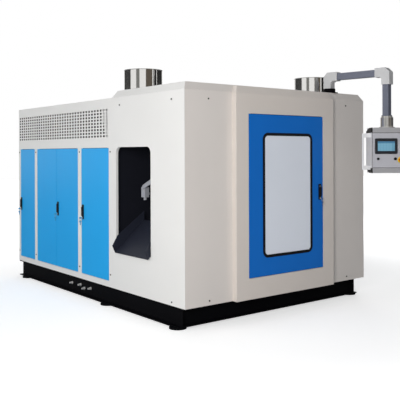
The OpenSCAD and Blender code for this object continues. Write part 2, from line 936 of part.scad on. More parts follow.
// Escutcheon with the lock cylinder, its key and a second key hanging on the ring
module lock_body() {
    key_z = -spindle_up - cylinder_down;
    bow_y = -cylinder_out - bow_r - 10;
    drop = eye_r - wire_r - run_gap;
    ring_z = key_z - bow_r / 2 - drop - ring_r;
    spare_eye_z = ring_z - ring_r - drop;
    difference() {
        union() {
            translate([0, 0, -spindle_up]) plate_xz(lock_w, lock_h, 5, -lock_t, lock_t);
            translate([0, 0, key_z]) rod_y(cylinder_r, -cylinder_out, -lock_t);
        }
        rod_y(spindle_r + run_gap, -lock_t - cut, cut);
    }
    translate([-key_t / 2, bow_y, key_z - blade_w / 2]) difference() {
        cube([key_t, -cylinder_out - bow_y, blade_w]);
        translate([-cut, -cut, -cut]) cube([key_t + 2 * cut, bow_r - 2, blade_w + 2 * cut]);
    }
    translate([0, bow_y, key_z]) key(-bow_r / 2, 0.1);
    translate([0, bow_y, ring_z]) rotate([90, 0, 0]) rotate_extrude() {
        translate([ring_r, 0]) circle(r = wire_r);
    }
    translate([0, bow_y, spare_eye_z - bow_r / 2]) key(bow_r / 2, spare_l);
}

// Spindle with its shoulder outside and its cam inside
module lock_spindle(edge, y0) {
    rod_y(spindle_r, y0, cam_y0 + cam_t);
    rod_y(spindle_r + 3, y0, -lock_t - 0.1);
    translate([-cam_w / 2, cam_y0, 0]) cube([cam_w, cam_t, edge + cam_reach]);
    rod_y(cam_w / 2, cam_y0, cam_y0 + cam_t);
}

lug_w = 8;
lug_h = 9;

module lock_lug() {
    translate([-lug_w / 2, lever_y - 4, -lug_h / 2]) cube([lug_w, -lock_t - 1 - lever_y + 4, lug_h]);
    translate([0, lever_y, 0]) rod_x(lever_pin_r, -lever_w / 2, lever_w / 2);
}

module lever_bar() {
    translate([-lever_w / 2, lever_y - lever_t / 2, -lever_l]) cube([lever_w, lever_t, lever_l]);
    translate([0, lever_y, 0]) rod_x(lever_t / 2, -lever_w / 2, lever_w / 2);
}

module lock_handle(edge) {
    lock_spindle(edge, lever_y + lever_t / 2);
    lever_bar();
}

module at_front_lock() {
    at_front_door() at_lock(door_w - front_lock_in, front_lock_z) children();
}

module front_lock_body() {
    color(black_paint) place() at_front_lock() lock_body();
}

module front_lock_spindle() {
    color(steel) place() at_front_lock() {
        lock_spindle(front_lock_in, lever_y + lever_t / 2 + lever_gap);
        lock_lug();
    }
}

module front_lock_lever() {
    color(black_paint) place() at_front_lock() difference() {
        lever_bar();
        translate([-lug_w / 2 - lever_gap, lever_y - lever_t, -lug_h]) {
            cube([lug_w + 2 * lever_gap, 2 * lever_t, 2 * lug_h]);
        }
        translate([0, lever_y, 0]) rod_x(lever_pin_r + run_gap, -lever_w, lever_w);
    }
}

module cabinet_lock_body_front() {
    color(black_paint) place() at_leaf(leaf_a) at_lock(leaf_a_w - lock_a_in, leaf_lock_z) lock_body();
}

module cabinet_lock_handle_front() {
    color(black_paint) place() at_leaf(leaf_a) at_lock(leaf_a_w - lock_a_in, leaf_lock_z) {
        lock_handle(lock_a_in);
    }
}

module double_lock_body() {
    color(black_paint) place() at_leaf(leaf_b) at_lock(leaf_b_half - lock_b_in, leaf_lock_z) lock_body();
}

module double_lock_handle() {
    color(black_paint) place() at_leaf(leaf_b) at_lock(leaf_b_half - lock_b_in, leaf_lock_z) {
        lock_handle(lock_b_in);
    }
}

module cabinet_lock_body_rear() {
    color(black_paint) place() at_leaf(leaf_c) at_lock(leaf_c_w - lock_c_in, leaf_lock_z) lock_body();
}

module cabinet_lock_handle_rear() {
    color(black_paint) place() at_leaf(leaf_c) at_lock(leaf_c_w - lock_c_in, leaf_lock_z) {
        lock_handle(lock_c_in);
    }
}

// Arm of the control panel: x along the arm from its swivel axis
module at_arm() {
    translate([arm_x, arm_y, 0]) rotate([0, 0, -arm_turn]) children();
}

// Hinge side of the panel: origin on the drop tube's axis, y to the panel's back
module at_panel() {
    translate([tip_x, tip_y, 0]) rotate([0, 0, -panel_turn]) children();
}

arm_tube_w = 60;
arm_tube_h = 65;
arm_wall = 4;
casting_z = roof_z + swivel_h;
swivel_pin_r = 25;
swivel_pin_l = 58;
socket = 30;
drop_socket = 40;
collar_floor = 6;

module arm_base() {
    flange_h = 8;
    bolt_at = swivel_r + 12;
    color(black_paint) place() at_arm() {
        translate([0, 0, roof_z]) cylinder(r = swivel_r + 24, h = flange_h);
        translate([0, 0, roof_z + flange_h]) cylinder(r = swivel_r, h = swivel_h - flange_h);
        translate([0, 0, roof_z + swivel_h]) cylinder(r = swivel_pin_r, h = swivel_pin_l);
        for (i = [0:3]) rotate(45 + 90 * i) translate([bolt_at, 0, roof_z + flange_h - skin]) {
            cylinder(r = 6, h = 7, $fn = 6);
        }
    }
}

// Elbow casting: an upright trunk and a socket for the tube, with the upper outer corner cut off
module casting() {
    bevel = 42;
    inner_x = casting_l - casting_out;
    trunk_x = casting_w - casting_out;
    socket_low = arm_z - casting_z - arm_tube_h / 2 - 8;
    difference() {
        along_y(-casting_w / 2, casting_w / 2) polygon([
            [-casting_out, 0], [trunk_x, 0], [trunk_x, socket_low - 16], [trunk_x + 16, socket_low],
            [inner_x, socket_low], [inner_x, casting_h], [bevel - casting_out, casting_h],
            [-casting_out, casting_h - bevel]
        ]);
        translate([inner_x - socket, -arm_tube_w / 2, arm_z - casting_z - arm_tube_h / 2]) {
            cube([socket + cut, arm_tube_w, arm_tube_h]);
        }
    }
}

module arm_castings() {
    half = arm_tube_w / 2;
    color(silver) place() at_arm() {
        difference() {
            translate([0, 0, casting_z]) casting();
            translate([0, 0, casting_z - cut]) {
                cylinder(r = swivel_pin_r + run_gap, h = swivel_pin_l + 2 * cut);
            }
        }
        difference() {
            translate([arm_l, 0, casting_z]) mirror([1, 0, 0]) casting();
            translate([arm_l - half, -half, casting_z - cut]) cube([2 * half, 2 * half, drop_socket + cut]);
        }
    }
}

module arm_tubes() {
    x0 = casting_l - casting_out - socket;
    run = arm_l - 2 * x0;
    half = arm_tube_w / 2;
    bore = drop_r - arm_wall;
    spigot_z = panel_top_z + collar_floor + run_gap;
    drop_z = panel_top_z + collar_h + 1;
    drop_l = casting_z + drop_socket - drop_z;
    end_t = 8;
    color([0.29, 0.29, 0.35]) place() at_arm() {
        translate([x0, -half, arm_z - arm_tube_h / 2]) difference() {
            cube([run, arm_tube_w, arm_tube_h]);
            translate([-cut, arm_wall, arm_wall]) {
                cube([run + 2 * cut, arm_tube_w - 2 * arm_wall, arm_tube_h - 2 * arm_wall]);
            }
        }
        translate([arm_l, 0, 0]) difference() {
            union() {
                translate([-half, -half, drop_z]) cube([arm_tube_w, arm_tube_w, drop_l]);
                translate([-half - 6, -half - 6, drop_z]) cube([arm_tube_w + 12, arm_tube_w + 12, end_t]);
                translate([0, 0, spigot_z]) cylinder(r = drop_r, h = drop_z - spigot_z + cut);
            }
            translate([arm_wall - half, arm_wall - half, drop_z + end_t]) {
                cube([arm_tube_w - 2 * arm_wall, arm_tube_w - 2 * arm_wall, drop_l]);
            }
            translate([0, 0, spigot_z - cut]) {
                cylinder(r = bore - 4, h = drop_z + end_t - spigot_z + 2 * cut);
            }
        }
    }
}

module panel_collar() {
    cap_h = 12;
    bore = drop_r - arm_wall;
    color(silver) place() at_panel() translate([0, 0, panel_top_z]) difference() {
        union() {
            cylinder(r = collar_r, h = collar_h - cap_h);
            cylinder(r = collar_r + 14, h = 8);
            translate([0, 0, collar_h - cap_h]) cylinder(r = collar_r - 8, h = cap_h);
        }
        translate([0, 0, collar_floor]) cylinder(r = drop_r + run_gap, h = collar_h);
        translate([0, 0, -cut]) cylinder(r = bore, h = collar_floor + 2 * cut);
    }
}

// Control panel: silver case with black caps on its side profiles and a recessed front plate
bar_h = 47;
cap_w = 10;
cap_cut_y = 110;
cap_cut_z = 31;
case_wall = 4;
plate_t = 3;
plate_in = 6;
panel_front = -panel_d / 2;
plate_w = panel_w - 2 * plate_in;
plate_h = panel_h - 2 * bar_h;

module panel_case() {
    h = panel_h;
    color(silver) place() at_panel() translate([0, 0, panel_z]) difference() {
        translate([-panel_w / 2, panel_front, 0]) cube([panel_w, panel_d, h]);
        translate([-panel_w / 2 + case_wall, panel_front + 20, case_wall]) {
            cube([panel_w - 2 * case_wall, panel_d - 20 - case_wall, h - 2 * case_wall]);
        }
        translate([-plate_w / 2, panel_front - cut, bar_h]) cube([plate_w, 30, plate_h]);
        for (x = [-panel_w / 2 - cut, panel_w / 2 - cap_w], z = [-cut, h - bar_h]) {
            translate([x, panel_front - cut, z]) cube([cap_w + cut, panel_d + 2 * cut, bar_h + cut]);
        }
        translate([0, 0, h - case_wall - cut]) cylinder(r = drop_r - arm_wall, h = case_wall + 2 * cut);
    }
}

module panel_corner_caps() {
    color(black_paint) place() at_panel() translate([0, 0, panel_z + panel_h / 2]) {
        for (x = [-panel_w / 2, panel_w / 2 - cap_w], up = [0, 1]) {
            mirror([0, 0, up]) along_x(x, x + cap_w) polygon([
                [panel_front, bar_h - panel_h / 2], [panel_front, -panel_h / 2],
                [-panel_front - cap_cut_y, -panel_h / 2], [-panel_front, cap_cut_z - panel_h / 2],
                [-panel_front, bar_h - panel_h / 2]
            ]);
        }
    }
}

// Places on the front plate, from the middle of the plate's foot
screen_w = 207;
screen_h = 144;
screen_x = -panel_w / 2 + 32 + screen_w / 2;
screen_z = 248;
display_w = 159;
display_h = 90;
stop_x = 98;
stop_z = 121;
stop_r = 28;
stop_head_r = 20;
stop_stem_r = 8;
selector_x = 49;
selector_z = 131;
selector_r = 13;
start_x = -110;
start_z = 131;
lamp_zs = [196, 252];
lamp_x = 98;
button_r = 12;
stem_r = 6;
press_gap = 0.3;
plate_y = panel_front + 6;

module at_plate(x, z) {
    at_panel() translate([x, plate_y, panel_z + z]) children();
}

module panel_front_plate() {
    color([0.62, 0.62, 0.63]) place() difference() {
        at_panel() translate([-plate_w / 2, plate_y, panel_z + bar_h]) cube([plate_w, plate_t, plate_h]);
        at_plate(stop_x, stop_z) rod_y(stop_stem_r + 4, -cut, plate_t + cut);
        at_plate(selector_x, selector_z) rod_y(stem_r + run_gap, -cut, plate_t + cut);
        at_plate(start_x, start_z) rod_y(stem_r + run_gap, -cut, plate_t + cut);
        for (z = lamp_zs) at_plate(lamp_x, z) rod_y(stem_r + run_gap, -cut, plate_t + cut);
    }
}

module panel_screen() {
    bezel_t = 8;
    color([0.42, 0.66, 0.78]) place() at_plate(screen_x, screen_z) difference() {
        plate_xz(screen_w, screen_h, 8, -bezel_t, bezel_t);
        plate_xz(display_w, display_h, 2, -bezel_t - cut, 1.5 + cut);
    }
}

// D-shaped handle bars at both sides of the case
module panel_handles() {
    z0 = panel_z + (panel_h - grip_l) / 2 - 12;
    bracket_h = 38;
    color(silver) place() at_panel() for (side = [0, 1]) mirror([side, 0, 0]) {
        x = panel_w / 2 + grip_out;
        translate([x, grip_y, z0]) cylinder(r = grip_r, h = grip_l);
        for (z = [z0, z0 + grip_l - bracket_h]) translate([panel_w / 2, grip_y - grip_r, z]) {
            cube([grip_out, 2 * grip_r, bracket_h]);
        }
    }
}

module stop_housing() {
    color([0.95, 0.8, 0.1]) place() at_plate(stop_x, stop_z) difference() {
        union() {
            rod_y(stop_r, -8, 0);
            rod_y(stop_stem_r + 4, 0, 30);
        }
        rod_y(stop_stem_r + run_gap, -8 - cut, 30 + cut);
    }
}

module stop_button() {
    color([0.85, 0.1, 0.08]) place() at_plate(stop_x, stop_z) {
        rod_y(stop_stem_r, -16, 28);
        rod_y(stop_head_r - 6, -20, -16);
        rod_y(stop_head_r, -30, -20);
    }
}

module mode_selector() {
    color(black_paint) place() at_plate(selector_x, selector_z) {
        rod_y(selector_r, -10, -press_gap);
        rod_y(stem_r, -press_gap, 30);
        translate([-3.5, -20, -selector_r]) cube([7, 10, 2 * selector_r]);
    }
}

// Push-button with its head, stem and the gap that it travels
module push_button() {
    rod_y(button_r, -12, -5);
    rod_y(stem_r, -5, 30);
}

module start_button() {
    color(black_paint) place() at_plate(start_x, start_z) push_button();
}

module lamp_button_lower() {
    color([0.85, 0.85, 0.8]) place() at_plate(lamp_x, lamp_zs[0]) push_button();
}

module lamp_button_upper() {
    color([0.85, 0.85, 0.8]) place() at_plate(lamp_x, lamp_zs[1]) push_button();
}

// Clamp unit: bed, end plates and closing cylinders
half_gap = mould_open + mould_t + platen_t;
bed_x0 = clamp_x - end_plate_x - end_plate_t;
bed_l = 2 * (end_plate_x + end_plate_t);
bed_t = 40;

module tie_places() {
    for (y = [-tie_dy, tie_dy], z = [-tie_dz, tie_dz]) translate([0, clamp_y + y, clamp_z + z]) children();
}

// Mirrors a piece across the middle of the clamp
module both_sides() {
    children();
    translate([2 * clamp_x, 0, 0]) mirror([1, 0, 0]) children();
}

module ram() {
    x1 = bed_x0;
    translate([0, clamp_y, clamp_z]) difference() {
        rod_x(ram_r + ram_wall, x1 - ram_l, x1);
        rod_x(ram_r, x1 - ram_l + ram_bottom, x1 + cut);
    }
}

module machine_bed() {
    side_t = 30;
    y0 = clamp_y - end_plate_d / 2;
    y1 = y0 + end_plate_d;
    inner_w = right_x - left_x - tube;
    color(machine_grey) place() {
        difference() {
            translate([bed_x0, y0, bed_z - bed_t]) cube([bed_l, end_plate_d, bed_t]);
            translate([clamp_x, clamp_y, bed_z - bed_t - cut]) cylinder(r = blow_bore, h = bed_t + 2 * cut);
        }
        for (y = [y0, y1 - side_t]) translate([bed_x0, y, deck_z]) {
            cube([bed_l, side_t, bed_z - bed_t - deck_z]);
        }
        for (y = [y0 - tube, y1]) translate([left_x + tube, y, deck_z]) cube([inner_w, tube, tube]);
        both_sides() difference() {
            union() {
                translate([bed_x0, y0, bed_z]) cube([end_plate_t, end_plate_d, end_plate_top - bed_z]);
                ram();
            }
            tie_places() rod_x(tie_r, bed_x0 - cut, bed_x0 + end_plate_t + cut);
            translate([0, clamp_y, clamp_z]) {
                rod_x(rod_r + run_gap, bed_x0 - cut, bed_x0 + end_plate_t + cut);
            }
        }
    }
}

module tie_bars() {
    color(steel) place() tie_places() rod_x(tie_r, bed_x0, bed_x0 + bed_l);
}

// Left platen with its rod and piston
module platen() {
    x0 = clamp_x - half_gap;
    difference() {
        translate([x0, clamp_y - platen_d / 2, clamp_z - platen_h / 2]) cube([platen_t, platen_d, platen_h]);
        tie_places() rod_x(tie_r + run_gap, x0 - cut, x0 + platen_t + cut);
    }
    translate([0, clamp_y, clamp_z]) {
        rod_x(rod_r, x0 - rod_l, x0);
        rod_x(ram_r - run_gap, x0 - rod_l, x0 - rod_l + piston_t);
    }
}

module platen_left() {
    color(machine_grey) place() platen();
}

module platen_right() {
    color(machine_grey) place() translate([2 * clamp_x, 0, 0]) mirror([1, 0, 0]) platen();
}

// Left mould half: body cavity, handle pinch and neck
module mould() {
    x1 = clamp_x - mould_open;
    top_z = clamp_z + mould_h / 2;
    cavity_w = 190;
    cavity_h = 290;
    cavity_d = 75;
    cavity_r = 35;
    water_r = 8;
    color(silver) difference() {
        translate([x1 - mould_t, clamp_y - mould_d / 2, top_z - mould_h]) cube([mould_t, mould_d, mould_h]);
        translate([x1, clamp_y, clamp_z + 10]) rotate([0, 90, 0]) translate([0, 0, -cavity_d]) {
            linear_extrude(cavity_d + cut) round_rect(cavity_h, cavity_w, cavity_r);
        }
        translate([x1, clamp_y, top_z - mould_h - cut]) cylinder(r = neck_r, h = mould_h / 2);
        for (y = [-60, 60]) translate([0, clamp_y + y, top_z - 25]) {
            rod_x(water_r, x1 - mould_t - cut, x1 - mould_t / 3);
        }
    }
}

module mould_left() {
    place() mould();
}

module mould_right() {
    place() translate([2 * clamp_x, 0, 0]) mirror([1, 0, 0]) mould();
}

module blow_cylinder() {
    top = bed_z - bed_t;
    foot_t = 15;
    flange_h = 16;
    color(steel) place() translate([clamp_x, clamp_y, 0]) difference() {
        union() {
            translate([0, 0, blow_z]) cylinder(r = blow_r, h = top - blow_z);
            translate([0, 0, top - flange_h]) cylinder(r = blow_r + 20, h = flange_h);
        }
        translate([0, 0, blow_z + foot_t]) cylinder(r = blow_bore, h = top - 2 * foot_t - blow_z);
        translate([0, 0, blow_z + foot_t]) cylinder(r = pin_r + run_gap, h = top);
    }
}

module blow_pin() {
    tip_l = 20;
    foot_z = blow_z + 20;
    color(steel) place() translate([clamp_x, clamp_y, 0]) {
        translate([0, 0, foot_z]) cylinder(r = pin_r, h = pin_top_z - tip_l - foot_z);
        translate([0, 0, foot_z]) cylinder(r = blow_bore - run_gap, h = piston_t);
        translate([0, 0, pin_top_z - tip_l]) cylinder(r1 = pin_r, r2 = pin_r - 4, h = tip_l);
    }
}

// Die head over the mould
module die_head() {
    nozzle_h = 40;
    cap_h = 60;
    die_r = 28;
    core_r = 20;
    inlet = 30;
    color(steel) place() translate([clamp_x, clamp_y, 0]) difference() {
        union() {
            translate([0, 0, head_z0]) cylinder(r = head_r - nozzle_h, h = nozzle_h);
            translate([0, 0, head_z0 + nozzle_h]) cylinder(r = head_r, h = head_z1 - head_z0 - nozzle_h);
            translate([0, 0, head_z1]) cylinder(r = head_r - 50, h = cap_h);
            for (i = [0:7]) rotate(45 * i) translate([head_r - 15, 0, head_z1 - skin]) {
                cylinder(r = 8, h = 12, $fn = 6);
            }
        }
        translate([0, 0, head_z0 - cut]) cylinder(r = die_r, h = cap_h);
        translate([0, 0, head_z0 + cap_h - 2 * cut]) cylinder(r = core_r, h = 90);
        translate([0, 0, barrel_z]) rod_y(barrel_r, head_r - inlet, head_r + cut);
    }
}

// Extruder: heated barrel, gearbox, motor and stand
module extruder() {
    heater_r = barrel_r + 12;
    heater_l = 130;
    heater_pitch = 185;
    box_w = 340;
    box_l = 400;
    box_h = 370;
    box_z0 = barrel_z - 200;
    shelf_t = 40;
    shelf_lap = 30;
    motor_r = 140;
    motor_l = 480;
    fin_h = 10;
    leg = 60;
    y0 = clamp_y + head_r - 30;
    y1 = barrel_y1;
    motor_y = y1 + box_l;
    leg_ys = [y1 - shelf_lap, motor_y + shelf_lap - leg];
    color(dark_steel) place() translate([clamp_x, 0, 0]) {
        translate([0, 0, barrel_z]) {
            rod_y(barrel_r, y0, y1);
            for (y = [y0 + 110:heater_pitch:y0 + 110 + 5 * heater_pitch]) rod_y(heater_r, y, y + heater_l);
            rod_y(motor_r, motor_y, motor_y + motor_l);
            rod_y(motor_r + fin_h, motor_y, motor_y + 15);
            for (y = [motor_y + 60:60:motor_y + 360]) rod_y(motor_r + fin_h, y, y + 12);
        }
        translate([-box_w / 2, y1, box_z0]) cube([box_w, box_l, box_h]);
        translate([-box_w / 2, y1 - shelf_lap, box_z0 - shelf_t]) {
            cube([box_w, box_l + 2 * shelf_lap, shelf_t]);
        }
        for (x = [-box_w / 2, box_w / 2 - leg], y = leg_ys) translate([x, y, deck_z + tube]) {
            cube([leg, leg, box_z0 - shelf_t - deck_z - tube]);
        }
        for (y = leg_ys) translate([left_x + tube - clamp_x, y, deck_z]) {
            cube([right_x - left_x - tube, leg, tube]);
        }
    }
}

// Hydraulic unit: tank with its lid, motor and filter
module hydraulic_unit() {
    tank_x = 330;
    tank_y = total_l - 760;
    tank_w = 520;
    tank_l = 600;
    tank_h = 420;
    lid_lap = 10;
    lid_t = 12;
    motor_r = 110;
    motor_l = 340;
    pump_r = 70;
    pump_l = 80;
    foot_w = 200;
    foot_l = 300;
    foot_t = 50;
    filter_r = 45;
    z0 = deck_z + tube;
    top_z = z0 + tank_h + lid_t;
    motor_y = tank_y + 100;
    color(machine_grey) place() {
        for (y = [tank_y + 60, tank_y + tank_l - 100]) translate([left_x + tube, y, deck_z]) {
            cube([right_x - left_x - tube, tube, tube]);
        }
        translate([tank_x, tank_y, z0]) cube([tank_w, tank_l, tank_h]);
        translate([tank_x - lid_lap, tank_y - lid_lap, top_z - lid_t]) {
            cube([tank_w + 2 * lid_lap, tank_l + 2 * lid_lap, lid_t]);
        }
        translate([tank_x + tank_w / 2, 0, top_z + motor_r + 28]) {
            rod_y(motor_r, motor_y, motor_y + motor_l);
            rod_y(pump_r, motor_y + motor_l, motor_y + motor_l + pump_l);
        }
        translate([tank_x + (tank_w - foot_w) / 2, motor_y + 20, top_z]) cube([foot_w, foot_l, foot_t]);
        translate([tank_x + 60, tank_y + 60, top_z]) cylinder(r = filter_r, h = 110);
    }
}

base_frame();
levelling_feet();
water_couplings();
body_frame();
flank_panel_left();
flank_panel_right();
front_panels();
door_surround();
enclosure_roof();
bulkhead();
discharge_chute();
pneumatic_unit();
cabinet_face();
grille_panel();
cabinet_panels();
exhaust_stacks();
panel_screws();
door_pivots();
front_door();
door_seal();
door_window();
cabinet_door_front();
double_door_front();
double_door_rear();
cabinet_door_rear();
front_lock_body();
front_lock_spindle();
front_lock_lever();
cabinet_lock_body_front();
cabinet_lock_handle_front();
double_lock_body();
double_lock_handle();
cabinet_lock_body_rear();
cabinet_lock_handle_rear();
arm_base();
arm_castings();
arm_tubes();
panel_collar();
panel_case();
panel_corner_caps();
panel_front_plate();
panel_handles();
panel_screen();
stop_housing();
stop_button();
mode_selector();
start_button();
lamp_button_lower();
lamp_button_upper();
machine_bed();
tie_bars();
platen_left();
platen_right();
mould_left();
mould_right();
die_head();
extruder();
blow_cylinder();
blow_pin();
hydraulic_unit();
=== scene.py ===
import json
import math

import bmesh
import bpy
from mathutils import Matrix, Vector

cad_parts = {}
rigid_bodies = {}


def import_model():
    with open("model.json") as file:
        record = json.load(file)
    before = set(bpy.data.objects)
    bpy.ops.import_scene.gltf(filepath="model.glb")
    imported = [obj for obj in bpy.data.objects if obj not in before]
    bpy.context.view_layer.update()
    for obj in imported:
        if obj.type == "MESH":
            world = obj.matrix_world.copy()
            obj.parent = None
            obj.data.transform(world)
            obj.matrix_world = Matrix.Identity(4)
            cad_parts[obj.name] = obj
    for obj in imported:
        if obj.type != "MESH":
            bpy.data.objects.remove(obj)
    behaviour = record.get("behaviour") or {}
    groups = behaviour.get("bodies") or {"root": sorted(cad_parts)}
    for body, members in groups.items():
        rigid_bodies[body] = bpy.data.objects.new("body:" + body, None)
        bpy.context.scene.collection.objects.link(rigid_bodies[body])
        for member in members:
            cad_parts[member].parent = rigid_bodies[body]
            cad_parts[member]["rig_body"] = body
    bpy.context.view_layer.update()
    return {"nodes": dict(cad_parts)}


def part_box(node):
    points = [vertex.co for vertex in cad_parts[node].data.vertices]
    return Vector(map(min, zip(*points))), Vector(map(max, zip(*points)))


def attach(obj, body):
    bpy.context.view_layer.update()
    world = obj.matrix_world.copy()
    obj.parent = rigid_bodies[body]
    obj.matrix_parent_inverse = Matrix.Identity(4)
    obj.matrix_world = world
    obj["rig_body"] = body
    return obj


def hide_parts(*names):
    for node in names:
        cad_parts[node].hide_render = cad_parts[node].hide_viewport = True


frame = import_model()
nodes = frame["nodes"]

# Studio: a camera at standing height off the discharge corner, a plain white surround that is dimmer
# on the right, one broad lamp on the discharge side and a smaller one beside the camera, so the front
# falls off to the right, and a third behind the machine that reaches only its rear and right side.
camera_place = (-4.39375, -5.67659, 1.460)
camera_heading = math.radians(-38.126)
camera_roll = math.radians(-0.2)
upright = Matrix.Rotation(math.radians(90), 3, "X")
camera_data = bpy.data.cameras.new("camera")
camera_data.lens = 60.345
camera_data.sensor_width = 36.0
camera_data.shift_y = -0.1162
camera_data.clip_end = 100.0
camera = bpy.data.objects.new("camera", camera_data)
bpy.context.scene.collection.objects.link(camera)
camera.location = camera_place
camera.rotation_euler = (
    Matrix.Rotation(camera_heading, 3, "Z") @ upright @ Matrix.Rotation(camera_roll, 3, "Z")
).to_euler()
bpy.context.scene.camera = camera
bpy.context.scene.view_settings.view_transform = "Standard"


def set_socket(node, name, value):
    node.inputs[name].default_value = value


def mapped(tree, value, to_min, to_max, from_min=0.0, from_max=1.0, curve="LINEAR"):
    """The value carried over from one range to another and held at its ends."""
    spread = tree.nodes.new("ShaderNodeMapRange")
    spread.interpolation_type = curve
    set_socket(spread, "From Min", from_min)
    set_socket(spread, "From Max", from_max)
    set_socket(spread, "To Min", to_min)
    set_socket(spread, "To Max", to_max)
    tree.links.new(value, spread.inputs["Value"])
    return spread.outputs["Result"]


def seen_directly(tree, *kinds):
    """1 for the camera's rays and the kinds of ray named, and 0 for the rays that only carry light."""
    rays = tree.nodes.new("ShaderNodeLightPath")
    seen = rays.outputs["Is Camera Ray"]
    for kind in kinds:
        either = tree.nodes.new("ShaderNodeMath")
        either.operation = "MAXIMUM"
        tree.links.new(seen, either.inputs[0])
        tree.links.new(rays.outputs[kind], either.inputs[1])
        seen = either.outputs[0]
    return seen


world = bpy.data.worlds.new("studio")
bpy.context.scene.world = world
world.use_nodes = True
world_tree = world.node_tree
sky = world_tree.nodes["Background"]
set_socket(sky, "Color", (0.93, 0.96, 1.0, 1.0))
sky_place = world_tree.nodes.new("ShaderNodeTexCoord")
sky_side = world_tree.nodes.new("ShaderNodeSeparateXYZ")
world_tree.links.new(sky_place.outputs["Generated"], sky_side.inputs[0])
sky_fade = mapped(world_tree, sky_side.outputs["X"], 0.36, 0.17, from_min=-0.5, from_max=0.5)
world_tree.links.new(sky_fade, sky.inputs["Strength"])
white_sky = world_tree.nodes.new("ShaderNodeBackground")
set_socket(white_sky, "Color", (1.0, 1.0, 1.0, 1.0))
sky_seen = seen_directly(world_tree, "Is Transmission Ray", "Is Glossy Ray")
sky_choice = world_tree.nodes.new("ShaderNodeMixShader")
world_tree.links.new(sky_seen, sky_choice.inputs[0])
world_tree.links.new(sky.outputs[0], sky_choice.inputs[1])
world_tree.links.new(white_sky.outputs[0], sky_choice.inputs[2])
world_tree.links.new(sky_choice.outputs[0], world_tree.nodes["World Output"].inputs["Surface"])


def broad_lamp(name, place, target, width, height, power, colour):
    lamp_data = bpy.data.lights.new(name, "AREA")
    lamp_data.shape = "RECTANGLE"
    lamp_data.size = width
    lamp_data.size_y = height
    lamp_data.energy = power
    lamp_data.color = colour
    lamp = bpy.data.objects.new(name, lamp_data)
    bpy.context.scene.collection.objects.link(lamp)
    lamp.location = place
    lamp.rotation_euler = (Vector(target) - Vector(place)).to_track_quat("-Z", "Y").to_euler()
    lamp.visible_glossy = False
    lamp.visible_camera = False


broad_lamp("flank lamp", place=(-8.6, 2.4, 3.4), target=(-1.1, 1.4, 1.4),
           width=6.4, height=3.4, power=186.0, colour=(1.0, 0.997, 0.985))
broad_lamp("front lamp", place=(-5.2, -5.0, 2.1), target=(-0.5, -1.3, 1.1),
           width=1.8, height=1.8, power=222.0, colour=(1.0, 0.985, 0.965))
broad_lamp("rear lamp", place=(6.5, 6.0, 3.4), target=(0.6, 1.0, 1.2),
           width=4.0, height=3.0, power=240.0, colour=(0.98, 0.99, 1.0))

# Floor: a pale studio floor that takes the machine's shadow and fades into the white surround.
# Reflections show it darker than the camera sees it.
floor_size = 30.0
fade_start = 2.4
fade_end = 5.5


def new_piece(name):
    """An empty mesh object in the scene."""
    piece = bpy.data.objects.new(name, bpy.data.meshes.new(name))
    bpy.context.scene.collection.objects.link(piece)
    return piece


floor = new_piece("floor")
floor_bm = bmesh.new()
bmesh.ops.create_grid(floor_bm, x_segments=1, y_segments=1, size=floor_size)
floor_bm.to_mesh(floor.data)
floor_bm.free()
floor_paint = bpy.data.materials.new("pale floor")
floor_paint.use_nodes = True
floor_tree = floor_paint.node_tree
floor_shader = floor_tree.nodes["Principled BSDF"]
set_socket(floor_shader, "Roughness", 0.9)
floor_rays = floor_tree.nodes.new("ShaderNodeLightPath")
floor_tone = mapped(floor_tree, floor_rays.outputs["Is Glossy Ray"], 0.70, 0.18)
floor_tree.links.new(floor_tone, floor_shader.inputs["Base Color"])
floor_white = floor_tree.nodes.new("ShaderNodeEmission")
floor_place = floor_tree.nodes.new("ShaderNodeTexCoord")
floor_reach = floor_tree.nodes.new("ShaderNodeVectorMath")
floor_reach.operation = "LENGTH"
floor_tree.links.new(floor_place.outputs["Object"], floor_reach.inputs[0])
floor_fade = mapped(floor_tree, floor_reach.outputs["Value"], 0.56, 1.0,
                    from_min=fade_start, from_max=fade_end, curve="SMOOTHSTEP")
floor_lift = floor_tree.nodes.new("ShaderNodeMath")
floor_lift.operation = "MULTIPLY"
floor_tree.links.new(seen_directly(floor_tree, "Is Transmission Ray"), floor_lift.inputs[0])
floor_tree.links.new(floor_fade, floor_lift.inputs[1])
floor_tree.links.new(floor_lift.outputs[0], floor_white.inputs["Strength"])
floor_sum = floor_tree.nodes.new("ShaderNodeAddShader")
floor_tree.links.new(floor_shader.outputs[0], floor_sum.inputs[0])
floor_tree.links.new(floor_white.outputs[0], floor_sum.inputs[1])
floor_tree.links.new(floor_sum.outputs[0], floor_tree.nodes["Material Output"].inputs["Surface"])
floor.data.materials.append(floor_paint)

# Dark studio screens: tall curved boards standing round the set, which the camera doesn't see and only
# reflections show. They give the stacks their upright bands, and the far left one, hung high, gives the
# blue leaves their fade from head to foot.
screen_distance = 14.0


